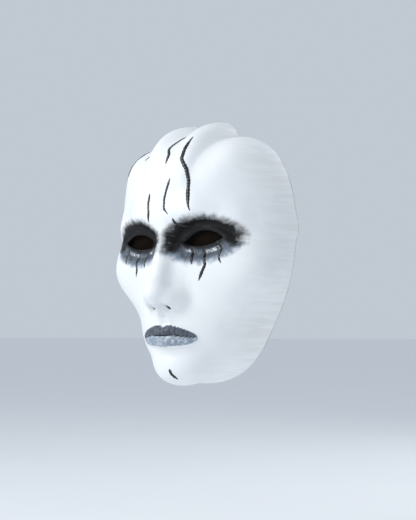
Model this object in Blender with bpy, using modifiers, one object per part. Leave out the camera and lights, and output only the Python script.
"""Full-face masquerade mask: a moulded paper shell with a felt lining, eye gauze, foam pads, an elastic strap on
press studs and a hanging ring. Metres, +Z up; the face looks along -Y and its flat back rim lies in the plane Y = 0.
Run with: blender --background --python part.py"""

import math

import bmesh
import bpy
import numpy as np
from mathutils import Matrix, Vector

MM = 0.001

# Overall sizes of the mask. The face and the places on it are stated for a standard head, in its millimetres,
# and grow with these three.
MASK_WIDTH = 177.0 * MM
MASK_DEPTH = 90.0 * MM
MASK_HEIGHT = 226.0 * MM
STANDARD_HEAD = (177.0, 90.0, 226.0)
SET_BACK = 20.0  # how far the middle of the head stands behind the rim

SHELL_WALL = 3.0 * MM
GAP = 0.3 * MM  # between pieces that are glued or rest on each other
LINING_GAP = 0.9 * MM  # glue and play behind the shell

# Openings in the face, on the standard head. An eye opening is a lens between two arcs.
EYE_PLACE = (32.5, 6.0)
EYE_HALF_WIDTH = 17.0
EYE_UPPER_RISE = 7.6
EYE_LOWER_DROP = 4.6
EYE_TILT = 5.0
NOSTRIL_PLACE = (6.6, -75.0, -48.0)
NOSTRIL_RADIUS = 2.1 * MM
NOSTRIL_REACH = 14.0 * MM

# Soft inside. Places and half sizes of the pads are (x, z) on the standard head.
FELT_THICKNESS = 1.2 * MM
FELT_INSET = 3.0 * MM  # from the back rim to the felt's edge
FELT_EYE_MARGIN = 6.5
FELT_WINDOW = (0.0, -42.0, 27.0, 40.0)  # left bare round nose and mouth: place, half width, half height
GAUZE_GAP = 0.4 * MM
GAUZE_THICKNESS = 0.6 * MM
GAUZE_MARGIN = 4.5
PAD_THICKNESS = 6.0 * MM
PAD_GAP = 0.7 * MM
FOREHEAD_PAD = (0.0, 58.0, 34.0, 13.0)
CHEEK_PAD = (45.0, -22.0, 11.0, 14.0)
CHIN_PAD = (0.0, -92.0, 15.0, 5.5)
PADS_BEHIND = -28.0 * MM  # the pads stay in front of this plane

# Strap and its press studs, all on one axis across the temples
PIVOT_DEPTH = -10.5 * MM
PIVOT_HEIGHT = 14.0 * MM
STRAP_WIDTH = 15.0 * MM
STRAP_THICKNESS = 1.4 * MM
STRAP_DROP = 68.0 * MM  # how far the loose strap hangs below its studs
STRAP_STRAIGHT = 11.0 * MM  # from the stud down to where the strap begins to curve
ANCHOR_RADIUS = 7.5 * MM
ANCHOR_THICKNESS = 4.0 * MM
ANCHOR_MARGIN = 1.5 * MM  # the felt's hole round an anchor
STUD_RADIUS = 5.6 * MM
STUD_BASE = 1.0 * MM
POST_RADIUS = 2.2 * MM
POST_LENGTH = 2.2 * MM
SOCKET_RADIUS = 5.8 * MM
SOCKET_THICKNESS = 2.2 * MM
SOCKET_CLEARANCE = 0.4 * MM
CAP_RADIUS = 6.2 * MM
CAP_THICKNESS = 1.2 * MM
CAP_EDGE = 0.5 * MM

# Hanging ring and the folded tab that holds it under the top of the mask
RING_WIRE = 0.9 * MM  # radius
RING_WIDTH = 16.0 * MM
RING_DROP = 11.0 * MM
RING_CORNER = 1.8 * MM
TAB_WIDTH = 11.0 * MM
TAB_WALL = 1.4 * MM
TAB_CLEARANCE = 0.35 * MM
TAB_LENGTH = 15.0 * MM
TAB_PLACE = -6.5 * MM  # the folded end's depth from the rim
TAB_GAP = 1.8 * MM  # glue between the flat tab and the curved felt

# Mesh fineness
SKIN_CELLS = 30
ARC_STEPS = 9
ROUND_STEPS = 24
STRAP_ROWS = 22
TIP_ROWS = 4

SKIN_SPREAD = 1.03  # how far the skin runs past the rim before it is trimmed
FAR = 0.3
RAY_START = Vector((0.0, 0.0, -24.0 * MM))
RAY_REACH = 0.2
RAY_CROWDING = 1.4  # above 1 gathers the skin's cells about the nose
SIDES = {"left": 1, "right": -1}


def scale():
    """How much this mask differs from the standard head, per axis."""
    return np.array((MASK_WIDTH, MASK_DEPTH, MASK_HEIGHT)) / (np.array(STANDARD_HEAD) * MM)


def spot(x, z):
    """A place on the standard head's front, as this mask's (x, z) in metres."""
    grow = scale() * MM
    return np.array((x * grow[0], z * grow[2]))


# --- the face as blended masses ------------------------------------------------------------------------------


def blend(a, b, radius):
    """Smooth union of two distances."""
    radius = radius * MM
    near = np.maximum(radius - np.abs(a - b), 0.0) / radius
    return np.minimum(a, b) - near * near * radius / 4


def carve(a, b, radius):
    """Distance a with the mass b scooped out of it, smoothly."""
    return -blend(-a, b, radius)


def ease(low, high, value):
    """Zero below low, one above high and smooth between."""
    t = np.clip((value - low) / (high - low), 0.0, 1.0)
    return t * t * (3 - 2 * t)


def bell(value, width):
    return np.exp(-((value / width) ** 2))


def oval(offsets, radii):
    """Distance to an oval, from the offsets from its middle along its axes."""
    near = np.sqrt(sum((u / r) ** 2 for u, r in zip(offsets, radii)))
    steep = np.sqrt(sum((u / r**2) ** 2 for u, r in zip(offsets, radii))) + 1e-9
    return near * (near - 1) / steep


def egg(p, centre, radii, turn=0.0):
    """Distance to an ellipsoid, turned by that many degrees about Z. Sizes are the standard head's millimetres."""
    grow = scale() * MM
    q = p - np.array(centre) * grow
    a = math.radians(turn)
    x = q[:, 0] * math.cos(a) + q[:, 1] * math.sin(a)
    y = -q[:, 0] * math.sin(a) + q[:, 1] * math.cos(a)
    return oval((x, y, q[:, 2]), np.array(radii) * grow)


def limb(p, start, end, start_radius, end_radius):
    """Distance to a round bar whose radius changes along it."""
    grow = scale() * MM
    a, b = np.array(start) * grow, np.array(end) * grow
    along = b - a
    t = np.clip((p - a) @ along / (along @ along), 0.0, 1.0)
    radius = (start_radius + (end_radius - start_radius) * t) * grow.mean()
    return np.linalg.norm(p - a - t[:, None] * along, axis=1) - radius


def head_distance(p):
    """Skull, jaw, chin and cheekbones."""
    d = egg(p, (0, 0, 26), (88, 88, 80))
    d = blend(d, egg(p, (0, -22, 58), (66, 65, 50)), 26)
    d = blend(d, egg(p, (0, 0, -26), (76, 80, 76)), 34)
    d = blend(d, egg(p, (0, -32, -72), (46, 43, 38)), 26)
    d = blend(d, egg(p, (0, -56, -64), (31, 29, 27)), 20)
    d = blend(d, egg(p, (0, -65, -96), (20, 18, 15)), 18)
    return blend(d, egg(p, (46, -49, -15), (26, 20, 17)), 28)


def brow_and_eyes(p, d):
    """Adds the brow bone, scoops the sockets and sets the eyeballs under the lids."""
    brow = limb(p, (0, -83, 25), (24, -80, 29), 8.0, 7.5)
    brow = blend(brow, limb(p, (24, -80, 29), (51, -59, 23), 7.5, 5.5), 8)
    d = blend(d, brow, 14)
    d = carve(d, egg(p, (33, -94, 6), (23, 22, 14), -16), 12)
    return blend(d, egg(p, (32, -60.5, 6), (19, 17.5, 15)), 5)


def nose(p, d):
    """Adds the bridge, the tip and the wings."""
    d = blend(d, limb(p, (0, -70, 10), (0, -80, -38), 9.5, 16.5), 10)
    d = blend(d, limb(p, (0, -83, 14), (0, -98.5, -30), 5.2, 7.6), 8)
    d = blend(d, egg(p, (0, -99.5, -36.5), (9.4, 10.0, 8.6)), 6)
    return blend(d, egg(p, (11.5, -89.5, -41.5), (6.2, 10.5, 7.4), -16), 5)


def lips(p, d):
    """Adds the closed lips, two ovals swept round the mouth that thin out to its corners."""
    grow = scale() * MM
    x, y, z = (p[:, i] / grow[i] for i in range(3))
    t = np.minimum(x / 27.0, 1.3)
    line = -71.0 - 1.6 * t * t
    front = -86.4 + 11.5 * t * t
    taper = np.maximum(np.sqrt(np.maximum(1 - t * t, 0.0)), 0.08)
    upper = oval((y - front + 2.0, z - line - 3.7 * taper), (5.0 * taper, 3.9 * taper))
    lower = oval((y - front + 0.8, z - line + 4.5 * taper), (5.4 * taper, 4.6 * taper))
    pair = np.minimum(upper, lower) + 12 * ease(0.97, 1.25, t)
    return blend(d, pair * MM, 3.4)


def crest(p, d):
    """Lobes and grooves of the forehead, and the line from the brow to the rim."""
    grow = scale() * MM
    x, z = p[:, 0] / grow[0], p[:, 2] / grow[2]
    side = x - 27 - 0.12 * (z - 70)
    groove = np.where(side < 0, bell(side, 4.4), bell(side, 12.0))
    relief = -7.2 * ease(42, 100, z) * groove - 7.0 * ease(76, 112, z) * bell(x, 7.5)
    relief += 3.0 * ease(64, 105, z) * bell(x - 17, 8)
    relief += 2.6 * ease(48, 78, z) * ease(108, 84, z) * bell(x - 54, 11)
    relief -= 6.0 * ease(80, 106, z) * ease(36, 56, x)
    run = z - (26 - 0.30 * (x - 46))
    relief += 2.0 * ease(46, 60, x) * ease(-7, 0, run) * ease(20, 2, run)
    return d - relief * MM


def face_distance(points):
    """Distance from the mask's outer surface, negative inside. The two halves are alike."""
    p = np.array(points, float)
    p[:, 0] = np.abs(p[:, 0])
    p[:, 1] -= SET_BACK * scale()[1] * MM
    return crest(p, lips(p, nose(p, brow_and_eyes(p, head_distance(p)))))


def cast(directions):
    """Where rays from the middle of the mask meet its outer surface."""
    start = np.array(RAY_START)
    reach = np.full(len(directions), RAY_REACH)
    for _ in range(70):
        reach -= 0.7 * np.clip(face_distance(start + directions * reach[:, None]), 0.0, None)
    low, high = reach - 2.5 * MM, reach + 1.5 * MM
    for _ in range(18):
        middle = (low + high) / 2
        inside = face_distance(start + directions * middle[:, None]) < 0
        low, high = np.where(inside, middle, low), np.where(inside, high, middle)
    return start + directions * ((low + high) / 2)[:, None]


def wall_x(y, z, depth):
    """The X of the side wall's surface at this depth."""
    low, high = MASK_WIDTH * 0.2, MASK_WIDTH * 0.7
    for _ in range(40):
        middle = (low + high) / 2
        inside = face_distance([(middle, y, z)])[0] < -depth
        low, high = (middle, high) if inside else (low, middle)
    return low


def roof_z(y, depth):
    """The Z of the top wall's surface at this depth, on the middle plane."""
    low, high = MASK_HEIGHT * 0.2, MASK_HEIGHT * 0.7
    for _ in range(40):
        middle = (low + high) / 2
        inside = face_distance([(0.0, y, middle)])[0] < -depth
        low, high = (middle, high) if inside else (low, middle)
    return low


# --- helpers ---------------------------------------------------------------------------------------------------


def clear_scene():
    for obj in list(bpy.data.objects):
        bpy.data.objects.remove(obj, do_unlink=True)


def collection(name):
    made = bpy.data.collections.new(name)
    bpy.context.scene.collection.children.link(made)
    return made


def material(name, colour, roughness, metallic=0.0):
    made = bpy.data.materials.new(name)
    made.use_nodes = True
    shader = made.node_tree.nodes["Principled BSDF"]
    shader.inputs["Base Color"].default_value = (*colour, 1.0)
    shader.inputs["Roughness"].default_value = roughness
    shader.inputs["Metallic"].default_value = metallic
    return made


def finish(obj, home, look, angle=40):
    """Shades the piece smooth between its sharp edges, gives it its material and puts it in its collection."""
    obj.data.shade_smooth()
    obj.data.set_sharp_from_angle(angle=math.radians(angle))
    obj.data.materials.clear()
    obj.data.materials.append(look)
    home.objects.link(obj)
    return obj


def mesh_object(name, bm):
    mesh = bpy.data.meshes.new(name)
    bm.to_mesh(mesh)
    bm.free()
    return bpy.data.objects.new(name, mesh)


def thicken(obj, thickness):
    modifier = obj.modifiers.new("thickness", "SOLIDIFY")
    modifier.thickness = thickness
    modifier.offset = -1.0


def boolean(obj, tool, operation="DIFFERENCE"):
    modifier = obj.modifiers.new(operation.lower() + " " + tool.name, "BOOLEAN")
    modifier.operation = operation
    modifier.solver = "EXACT"
    modifier.object = tool


def cutter(obj, home):
    home.objects.link(obj)
    obj.hide_render = True
    obj.display_type = "WIRE"
    return obj


def baked(obj):
    """The object as evaluated, made a plain closed mesh object in its place."""
    bpy.context.scene.collection.objects.link(obj)
    bpy.context.view_layer.update()
    graph = bpy.context.evaluated_depsgraph_get()
    mesh = bpy.data.meshes.new_from_object(obj.evaluated_get(graph))
    name, place = obj.name, obj.matrix_world.copy()
    bpy.data.objects.remove(obj)
    made = bpy.data.objects.new(name, mesh)
    made.matrix_world = place
    bm = bmesh.new()
    bm.from_mesh(mesh)
    bmesh.ops.remove_doubles(bm, verts=bm.verts, dist=1e-6)
    bmesh.ops.recalc_face_normals(bm, faces=bm.faces)
    bm.to_mesh(mesh)
    bm.free()
    return made


def flat_shape(name, outlines, half_thickness, place):
    """A filled 2D curve over closed outlines of (u, v) points, extruded both ways, with the given matrix."""
    curve = bpy.data.curves.new(name, "CURVE")
    curve.dimensions = "2D"
    curve.fill_mode = "BOTH"
    curve.extrude = half_thickness
    for outline in outlines:
        spline = curve.splines.new("POLY")
        spline.points.add(len(outline) - 1)
        for point, (u, v) in zip(spline.points, outline):
            point.co = (u, v, 0.0, 1.0)
        spline.use_cyclic_u = True
    obj = bpy.data.objects.new(name, curve)
    obj.matrix_world = place
    return baked(obj)


def front_prism(name, outline):
    """A closed prism along Y over an outline of (x, z) points, long enough to pass through the whole mask."""
    return flat_shape(name, [outline], FAR, Matrix.Rotation(math.radians(90), 4, "X"))


def rod(name, radius, start, end):
    """A cylinder along X between two X values, on the strap's axis."""
    bm = bmesh.new()
    middle = Vector(((start + end) / 2, PIVOT_DEPTH, PIVOT_HEIGHT))
    place = Matrix.Translation(middle) @ Matrix.Rotation(math.radians(90), 4, "Y")
    bmesh.ops.create_cone(bm, cap_ends=True, segments=ROUND_STEPS, radius1=radius, radius2=radius,
                          depth=abs(end - start), matrix=place)
    return mesh_object(name, bm)


def turned(name, profile, side, closed=False):
    """A turned piece on the strap's axis. The profile holds (radius, distance inwards from the stud's foot) and
    runs down its outer side from the innermost end."""
    bm = bmesh.new()
    verts = [bm.verts.new((radius, 0.0, inwards)) for radius, inwards in profile]
    for a, b in zip(verts, verts[1:] + verts[:1] if closed else verts[1:]):
        bm.edges.new((a, b))
    obj = mesh_object(name, bm)
    screw = obj.modifiers.new("turn", "SCREW")
    screw.steps = screw.render_steps = ROUND_STEPS
    screw.use_merge_vertices = True
    screw.merge_threshold = 0.00001
    obj.rotation_euler = (0.0, math.radians(-90 * side), 0.0)
    obj.location = (side * anchor_face(), PIVOT_DEPTH, PIVOT_HEIGHT)
    return obj


# --- the skin that every layer of the mask follows --------------------------------------------------------------


def half_skin():
    """The +X half of the outer surface: a grid laid onto a disc and bent over the face. It runs past the rim."""
    bm = bmesh.new()
    bmesh.ops.create_grid(bm, x_segments=SKIN_CELLS // 2, y_segments=SKIN_CELLS, size=1.0)
    flat = np.array([v.co for v in bm.verts])
    u, v = (flat[:, 0] + 1) / 2, flat[:, 1]
    p, q = u * np.sqrt(1 - v * v / 2), v * np.sqrt(1 - u * u / 2)
    r = np.hypot(p, q)
    angle = r**RAY_CROWDING * math.pi / 2 * SKIN_SPREAD
    lean = np.sin(angle) / np.maximum(r, 1e-9)
    where = cast(np.stack([p * lean, -np.cos(angle), q * lean], 1))
    where[u < 1e-6, 0] = 0.0
    for vert, co in zip(bm.verts, where):
        vert.co = co
    bmesh.ops.recalc_face_normals(bm, faces=bm.faces)
    if max(bm.faces, key=lambda f: -f.calc_center_median().y).normal.y > 0:
        bmesh.ops.reverse_faces(bm, faces=bm.faces)
    return mesh_object("skin", bm)


def whole_skin():
    """The whole outer surface, in triangles so that every layer under it has the same facets."""
    obj = half_skin()
    obj.modifiers.new("facets", "TRIANGULATE")
    modifier = obj.modifiers.new("other half", "MIRROR")
    modifier.merge_threshold = 0.0001
    bpy.context.scene.collection.objects.link(obj)
    bpy.context.view_layer.update()
    mesh = bpy.data.meshes.new_from_object(obj.evaluated_get(bpy.context.evaluated_depsgraph_get()))
    bpy.data.objects.remove(obj)
    return mesh


def layer(name, skin, depth, thickness, keep=None):
    """A sheet that follows the skin at this depth under it, in its own thickness, where keep(x, y, z) holds."""
    bm = bmesh.new()
    bm.from_mesh(skin)
    bm.normal_update()
    outside = [vert.normal.copy() for vert in bm.verts]
    if keep:
        spare = [face for face in bm.faces if not keep(*face.calc_center_median())]
    for vert, normal in zip(bm.verts, outside):
        vert.co -= normal * depth
    if keep:
        bmesh.ops.delete(bm, geom=spare, context="FACES")
    obj = mesh_object(name, bm)
    thicken(obj, thickness)
    return obj


def near(x, z, reach):
    """A test for being on the front, within that distance of a place."""
    return lambda px, py, pz: py < PADS_BEHIND and math.hypot(px - x, pz - z) < reach


def lens(side, margin=0.0):
    """The outline of an eye opening in (x, z): an upper and a lower arc through its two corners."""
    half = EYE_HALF_WIDTH + margin
    points = []
    for rise, way in ((EYE_UPPER_RISE + margin, 1), (EYE_LOWER_DROP + margin, -1)):
        radius = (half**2 + rise**2) / (2 * rise)
        swing = math.asin(half / radius)
        for k in range(ARC_STEPS):
            a = way * swing * (1 - 2 * k / ARC_STEPS)
            points.append((radius * math.sin(a), way * (rise - radius + radius * math.cos(a))))
    tilt = math.radians(EYE_TILT)
    turn = np.array(((math.cos(tilt), -math.sin(tilt)), (math.sin(tilt), math.cos(tilt))))
    placed = [turn @ point + EYE_PLACE for point in points]
    return [spot(side * x, z) for x, z in placed]


def rounded(x, z, half_width, half_height, side=1, power=2.6):
    """A rounded rectangle, between an ellipse and a rectangle, as (x, z) points."""
    points = []
    for k in range(3 * ARC_STEPS):
        a = 2 * math.pi * k / (3 * ARC_STEPS)
        u = math.copysign(abs(math.cos(a)) ** (2 / power), math.cos(a))
        v = math.copysign(abs(math.sin(a)) ** (2 / power), math.sin(a))
        points.append(spot(side * (x + half_width * u), z + half_height * v))
    return points


# --- the mask's pieces -------------------------------------------------------------------------------------------


def rim_trim(home, inset):
    """A block that takes away everything behind the rim plane, or behind that much less."""
    bm = bmesh.new()
    bmesh.ops.create_cube(bm, size=2 * FAR, matrix=Matrix.Translation((0.0, FAR - inset, 0.0)))
    return cutter(mesh_object(f"behind_rim_{round(inset / MM, 1)}", bm), home)


def nostril_cutter(home, side):
    grow = scale() * MM
    x, y, z = np.array(NOSTRIL_PLACE) * grow
    bm = bmesh.new()
    bmesh.ops.create_cone(bm, cap_ends=True, segments=ROUND_STEPS // 2, radius1=NOSTRIL_RADIUS,
                          radius2=NOSTRIL_RADIUS, depth=NOSTRIL_REACH, matrix=Matrix.Translation((side * x, y, z)))
    return cutter(mesh_object("nostril", bm), home)


def mask_shell(skin, home, cutters, look):
    obj = layer("mask_shell", skin, 0.0, SHELL_WALL)
    for side in SIDES.values():
        boolean(obj, cutter(front_prism("eye", lens(side)), cutters))
        boolean(obj, nostril_cutter(cutters, side))
    boolean(obj, rim_trim(cutters, 0.0))
    return finish(obj, home, look, 50)


def felt_lining(skin, home, cutters, look):
    """Felt glued into the shell, with windows for the eyes, for nose and mouth, and for the strap's anchors."""
    x, z, half_width, half_height = FELT_WINDOW
    grow = scale() * MM

    def keep(px, py, pz):
        across, up = px / (half_width * grow[0]), (pz - z * grow[2]) / (half_height * grow[2])
        return math.hypot(across, up) > 0.75 or py > -30 * MM

    obj = layer("felt_lining", skin, SHELL_WALL + LINING_GAP, FELT_THICKNESS, keep)
    boolean(obj, cutter(front_prism("nose_window", rounded(x, z, half_width, half_height)), cutters))
    for side in SIDES.values():
        boolean(obj, cutter(front_prism("felt_eye", lens(side, FELT_EYE_MARGIN)), cutters))
    hole = rod("anchor_hole", ANCHOR_RADIUS + ANCHOR_MARGIN, -MASK_WIDTH, MASK_WIDTH)
    boolean(obj, cutter(hole, cutters))
    boolean(obj, rim_trim(cutters, FELT_INSET))
    return finish(obj, home, look, 50)


def eye_gauze(skin, side, name, home, cutters, look):
    """Gauze glued behind an eye opening. It shows dark from the front, and the wearer sees through it."""
    middle = spot(side * EYE_PLACE[0], EYE_PLACE[1])
    depth = SHELL_WALL + GAUZE_GAP
    obj = layer("eye_gauze_" + name, skin, depth, GAUZE_THICKNESS, near(*middle, 40 * MM))
    outline = front_prism("gauze_outline", lens(side, GAUZE_MARGIN))
    boolean(obj, cutter(outline, cutters), "INTERSECT")
    return finish(obj, home, look)


def pad(skin, name, place, side, home, cutters, look):
    """A foam pad glued on the felt, in a rounded outline."""
    x, z, half_width, half_height = place
    depth = SHELL_WALL + LINING_GAP + FELT_THICKNESS + PAD_GAP
    reach = max(half_width, half_height) * MM * scale().max() + 18 * MM
    obj = layer(name, skin, depth, PAD_THICKNESS, near(*spot(side * x, z), reach))
    boolean(obj, cutter(front_prism(name + "_outline", rounded(x, z, half_width, half_height, side)), cutters),
            "INTERSECT")
    return finish(obj, home, look)


# --- strap and studs ---------------------------------------------------------------------------------------------


def anchor_face():
    """The X of the strap anchors' flat inner faces."""
    return wall_x(PIVOT_DEPTH, PIVOT_HEIGHT, SHELL_WALL + GAP) - ANCHOR_THICKNESS


def strap_anchor(skin, side, name, home, cutters, look):
    """A round block glued in the shell: its back follows the wall, and its face is flat, square to X."""
    obj = layer("strap_anchor_" + name, skin, SHELL_WALL + GAP, 2.2 * ANCHOR_THICKNESS,
                lambda x, y, z: x * side > 0 and y > -60 * MM and abs(z - PIVOT_HEIGHT) < 40 * MM)
    outline = rod("anchor_outline", ANCHOR_RADIUS, side * anchor_face(), side * MASK_WIDTH)
    boolean(obj, cutter(outline, cutters), "INTERSECT")
    return finish(obj, home, look)


def snap_stud(side, name, home, look):
    """The stud's foot and its post, whose rounded end the socket snaps over."""
    foot, top = GAP, GAP + STUD_BASE
    end = top + POST_LENGTH
    profile = [(0.0, end), (POST_RADIUS * 0.7, end), (POST_RADIUS, end - POST_RADIUS * 0.3),
               (POST_RADIUS, top), (STUD_RADIUS, top), (STUD_RADIUS, foot), (0.0, foot)]
    return finish(turned("snap_stud_" + name, profile, side), home, look)


def socket_start():
    """How far the socket starts inwards of the anchor's face."""
    return GAP + STUD_BASE + GAP


def strap_start():
    return socket_start() + SOCKET_THICKNESS + GAP


def snap_socket(side, name, home, look):
    """The ring on the strap's outer side that snaps over the stud's post."""
    hole = POST_RADIUS + SOCKET_CLEARANCE
    near_end, far_end = socket_start(), socket_start() + SOCKET_THICKNESS
    profile = [(hole, far_end), (SOCKET_RADIUS, far_end), (SOCKET_RADIUS, near_end), (hole, near_end)]
    return finish(turned("snap_socket_" + name, profile, side, closed=True), home, look)


def snap_cap(side, name, home, look):
    """The domed cap on the strap's inner side."""
    foot = strap_start() + STRAP_THICKNESS + GAP
    top = foot + CAP_THICKNESS
    profile = [(0.0, top), (CAP_RADIUS - 3 * CAP_EDGE, top), (CAP_RADIUS - CAP_EDGE, top - CAP_EDGE / 2),
               (CAP_RADIUS, top - 1.5 * CAP_EDGE), (CAP_RADIUS, foot), (0.0, foot)]
    return finish(turned("snap_cap_" + name, profile, side), home, look)


def strap_rows():
    """The strap's +X half as rows of (x, z, half width) about its axis, from its round end to the middle."""
    half = STRAP_WIDTH / 2
    x = anchor_face() - strap_start()
    rows = []
    for k in range(TIP_ROWS):
        a = math.radians(80) * (1 - k / TIP_ROWS)
        rows.append((x, half * math.sin(a), half * math.cos(a)))
    rows.append((x, 0.0, half))
    for k in range(STRAP_ROWS + 1):
        a = math.pi / 2 * k / STRAP_ROWS
        curve = STRAP_DROP - STRAP_STRAIGHT
        rows.append((x * math.cos(a), -STRAP_STRAIGHT - curve * math.sin(a), half))
    rows[-1] = (0.0, rows[-1][1], half)
    return rows


def elastic_strap(home, look):
    """The loose elastic strap, hanging from its two studs inside the mask."""
    rows = strap_rows()
    bm = bmesh.new()
    bmesh.ops.create_grid(bm, x_segments=1, y_segments=len(rows) - 1, size=1.0)
    for vert in bm.verts:
        x, z, half = rows[round((vert.co.y + 1) / 2 * (len(rows) - 1))]
        vert.co = (x, vert.co.x * half, z)
    bmesh.ops.recalc_face_normals(bm, faces=bm.faces)
    if max(bm.faces, key=lambda f: f.calc_center_median().x).normal.x < 0:
        bmesh.ops.reverse_faces(bm, faces=bm.faces)
    obj = mesh_object("elastic_strap", bm)
    modifier = obj.modifiers.new("other half", "MIRROR")
    modifier.merge_threshold = 0.0001
    thicken(obj, STRAP_THICKNESS)
    obj.location = (0.0, PIVOT_DEPTH, PIVOT_HEIGHT)
    return finish(obj, home, look)


# --- hanging ring --------------------------------------------------------------------------------------------------


def tab_frame():
    """Where the tab lies: the middle of its fold, the way along its tail and the way to the wall."""
    depth = SHELL_WALL + LINING_GAP + FELT_THICKNESS + TAB_GAP
    rear = Vector((0.0, TAB_PLACE, roof_z(TAB_PLACE, depth)))
    front_y = TAB_PLACE - TAB_LENGTH
    front = Vector((0.0, front_y, roof_z(front_y, depth)))
    along = (front - rear).normalized()
    up = Vector((-1.0, 0.0, 0.0)).cross(along)
    return rear - up * fold_radius(), along, up


def fold_radius():
    return RING_WIRE + TAB_CLEARANCE + TAB_WALL


def hanger_tab(home, look):
    """Tape folded round the ring's bar, with both ends glued under the top of the mask."""
    middle, along, up = tab_frame()
    radius = fold_radius()
    under = radius - 2 * TAB_WALL
    start, end = math.pi / 2, 2 * math.pi + math.asin(under / radius)
    outline = [(TAB_LENGTH, under), (TAB_LENGTH, radius)]
    for k in range(ROUND_STEPS):
        a = start + (end - start) * k / (ROUND_STEPS - 1)
        outline.append((radius * math.cos(a), radius * math.sin(a)))
    bore = RING_WIRE + TAB_CLEARANCE
    turn = [2 * math.pi * k / ROUND_STEPS for k in range(ROUND_STEPS)]
    hole = [(bore * math.cos(a), bore * math.sin(a)) for a in turn]
    place = Matrix((along, up, along.cross(up))).transposed().to_4x4()
    place.translation = middle
    return finish(flat_shape("hanger_tab", [outline, hole], TAB_WIDTH / 2, place), home, look)


def hanging_ring(home, look):
    """A D-shaped wire ring, its straight bar on the hinge axis."""
    half = RING_WIDTH / 2
    corner = RING_CORNER
    points = []
    for k in range(5):
        a = math.pi / 2 * (1 - k / 4)
        points.append((half - corner + corner * math.cos(a), -corner + corner * math.sin(a)))
    bow = RING_DROP - corner
    for k in range(1, 2 * ARC_STEPS):
        a = math.pi * k / (2 * ARC_STEPS)
        points.append((half * math.cos(a), -corner - bow * math.sin(a)))
    points += [(-x, z) for x, z in reversed(points[:5])]
    curve = bpy.data.curves.new("hanging_ring", "CURVE")
    curve.dimensions = "3D"
    curve.bevel_depth = RING_WIRE
    curve.bevel_resolution = 2
    curve.use_fill_caps = True
    spline = curve.splines.new("POLY")
    spline.points.add(len(points) - 1)
    for point, (x, z) in zip(spline.points, points):
        point.co = (x, 0.0, z, 1.0)
    spline.use_cyclic_u = True
    obj = baked(bpy.data.objects.new("hanging_ring", curve))
    obj.location = tab_frame()[0]
    return finish(obj, home, look)


def hang_on(name, place, pieces, home):
    """An empty on a joint's axis, with the pieces that turn about it as its children."""
    pivot = bpy.data.objects.new(name, None)
    home.objects.link(pivot)
    pivot.location = place
    for piece in pieces:
        piece.location = Vector(piece.location) - Vector(place)
        piece.parent = pivot


def main():
    clear_scene()
    home, cutters = collection("masquerade_mask"), collection("cutters")
    paper = material("painted_paper", (0.80, 0.81, 0.82), 0.45)
    felt = material("brown_felt", (0.045, 0.03, 0.02), 0.95)
    gauze = material("dark_gauze", (0.02, 0.014, 0.01), 0.8)
    foam = material("black_foam", (0.03, 0.03, 0.032), 0.9)
    cork = material("cork", (0.36, 0.22, 0.12), 0.85)
    nickel = material("nickel", (0.62, 0.62, 0.6), 0.3, 1.0)
    elastic = material("black_elastic", (0.02, 0.02, 0.022), 0.8)
    tape = material("cotton_tape", (0.05, 0.045, 0.04), 0.9)

    skin = whole_skin()
    mask_shell(skin, home, cutters, paper)
    felt_lining(skin, home, cutters, felt)
    pad(skin, "forehead_pad", FOREHEAD_PAD, 1, home, cutters, foam)
    pad(skin, "chin_pad", CHIN_PAD, 1, home, cutters, foam)
    turning = [elastic_strap(home, elastic)]
    for name, side in SIDES.items():
        eye_gauze(skin, side, name, home, cutters, gauze)
        pad(skin, "cheek_pad_" + name, CHEEK_PAD, side, home, cutters, foam)
        strap_anchor(skin, side, name, home, cutters, cork)
        snap_stud(side, name, home, nickel)
        turning.append(snap_socket(side, name, home, nickel))
        turning.append(snap_cap(side, name, home, nickel))
    hang_on("strap_axis", (0.0, PIVOT_DEPTH, PIVOT_HEIGHT), turning, home)
    hanger_tab(home, tape)
    hang_on("ring_axis", tab_frame()[0], [hanging_ring(home, nickel)], home)


main()
